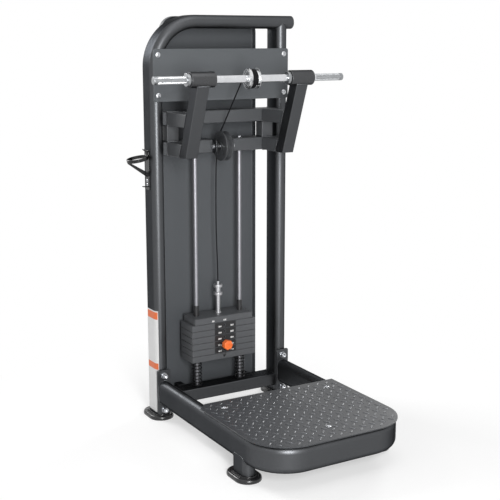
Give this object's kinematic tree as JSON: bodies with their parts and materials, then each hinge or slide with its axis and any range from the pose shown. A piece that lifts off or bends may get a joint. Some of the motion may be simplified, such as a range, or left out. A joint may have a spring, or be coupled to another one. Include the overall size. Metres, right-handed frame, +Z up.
{
  "type": "wrist exercise machine",
  "caption": "Standing wrist machine: a turned bar winds a cable over a guide pulley and lifts a pin-selected weight stack; raised-pattern step plate in front.",
  "frame": {"origin": "centre of the bounding box, on the floor", "axes": "+Z up, +X across the machine along the bar, +Y towards the rear shroud"},
  "size_m": [0.8, 0.981, 1.57],
  "materials": {
    "graphite_paint": "semi-gloss metallic graphite powder coat",
    "panel_paint": "satin grey powder coat",
    "black_paint": "semi-gloss black",
    "chrome": "bright plated",
    "stack_steel": "satin dark grey",
    "tread_steel": "metallic grey over raised pattern",
    "rubber": "glossy moulded",
    "black_plastic": "moulded",
    "cable_jacket": "coated cable",
    "orange_plastic": "moulded",
    "cord_fabric": "braided cord"
  },
  "bodies": {
    "frame": {"main_tube": "graphite_paint", "right_upright": "graphite_paint", "beam_end_cap": "black_plastic", "base_rail": "graphite_paint", "rail_flange_left": "graphite_paint", "rail_flange_right": "graphite_paint", "lower_crossbeam": "graphite_paint", "front_post_left": "graphite_paint", "front_post_right": "graphite_paint", "foot_rear_left": "rubber", "foot_rear_right": "rubber", "foot_front_left": "rubber", "foot_front_right": "rubber", "tread_plate": "tread_steel", "plate_cross_tube": "graphite_paint", "plate_front_tab": "graphite_paint", "rear_shroud": "panel_paint", "name_panel": "panel_paint", "bottle_holder": "black_paint", "upper_crossbar": "graphite_paint", "lower_crossbar_left": "graphite_paint", "lower_crossbar_right": "graphite_paint", "yoke_post_left": "graphite_paint", "yoke_post_right": "graphite_paint", "upper_wing_left": "graphite_paint", "upper_wing_right": "graphite_paint", "lower_wing_left": "graphite_paint", "lower_wing_right": "graphite_paint", "arm_left": "graphite_paint", "arm_right": "graphite_paint", "bearing_housing_left": "black_paint", "bearing_housing_right": "black_paint", "pulley_plate_left": "graphite_paint", "pulley_plate_right": "graphite_paint", "pulley_axle": "chrome", "drum_winding": "cable_jacket", "cable_upper": "cable_jacket", "cable_lower": "cable_jacket", "guide_rod_left": "chrome", "guide_rod_right": "chrome", "weight_plate_5": "stack_steel", "weight_plate_6": "stack_steel", "spring_left": "black_paint", "spring_right": "black_paint"},
    "lifted_stack": {"selector_rod": "chrome", "head_plate": "stack_steel", "weight_plate_1": "stack_steel", "weight_plate_2": "stack_steel", "weight_plate_3": "stack_steel", "weight_plate_4": "stack_steel", "guide_sleeve_left": "black_plastic", "guide_sleeve_right": "black_plastic"},
    "bar": {"grip_bar": "chrome", "cable_drum": "chrome", "bearing_sleeve_left": "chrome", "bearing_sleeve_right": "chrome"},
    "pulley": {"guide_pulley": "black_plastic"},
    "pin": {"selector_pin": "chrome", "selector_knob": "orange_plastic", "pin_lanyard": "cord_fabric"}
  },
  "joints": [
    {"name": "stack_lift", "type": "slide", "parent": "frame", "child": "lifted_stack", "axis": [0, 0, 1], "range_m": [0, 0.4146], "deforming": ["cable_lower"]},
    {"name": "bar_spin", "type": "hinge", "parent": "frame", "child": "bar", "pos_m": [0, 0.1357, 1.338], "axis": [1, 0, 0], "range_deg": [0, 720]},
    {"name": "guide_pulley_spin", "type": "hinge", "parent": "frame", "child": "pulley", "pos_m": [0, 0.3595, 1.0715], "axis": [1, 0, 0], "range_deg": [0, 476]},
    {"name": "selector_pin_pull", "type": "slide", "parent": "lifted_stack", "child": "pin", "axis": [0, -1, 0], "range_m": [0, 0.085]}
  ],
  "couplings": [
    {"joint": "bar_spin", "follows": "stack_lift", "rad_per_m": 30.303},
    {"joint": "guide_pulley_spin", "follows": "stack_lift", "rad_per_m": 20}
  ]
}
